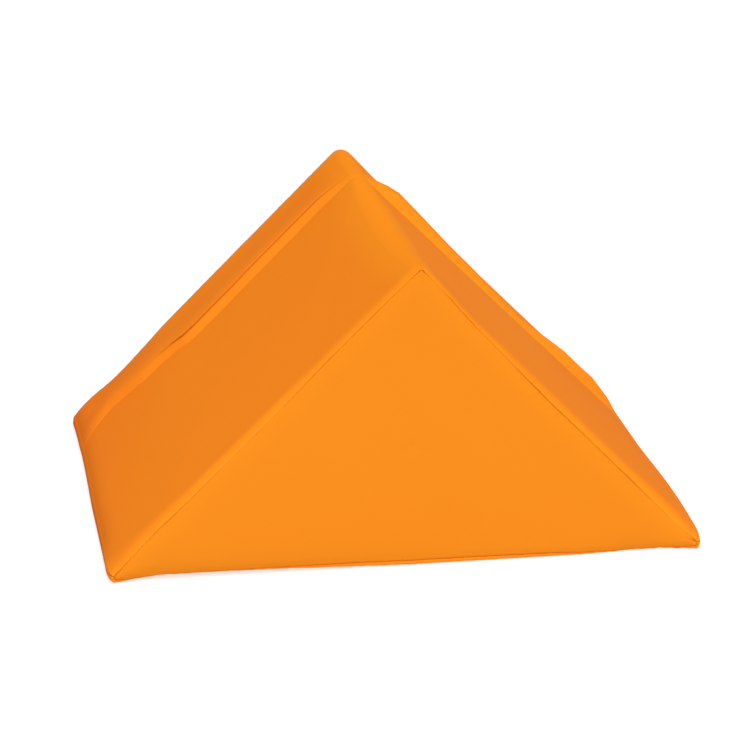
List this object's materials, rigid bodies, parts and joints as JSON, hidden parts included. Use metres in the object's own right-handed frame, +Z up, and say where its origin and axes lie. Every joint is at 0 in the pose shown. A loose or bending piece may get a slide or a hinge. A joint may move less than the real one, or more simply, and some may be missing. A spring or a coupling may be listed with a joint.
{
  "type": "foam wedge cushion",
  "caption": "Triangular-prism foam wedge cushion in a sewn coated-fabric cover, lying on its flat base, with a folded lip near the back.",
  "frame": {"origin": "on the ground under the middle of the base", "axes": "+X along the base's width, +Y from the front triangle to the back one, +Z up"},
  "size_m": [0.5993, 0.4585, 0.3076],
  "materials": {
    "cover": "satin, smooth coated fabric"
  },
  "bodies": {
    "root": {"wedge_cushion": "cover"}
  },
  "joints": []
}
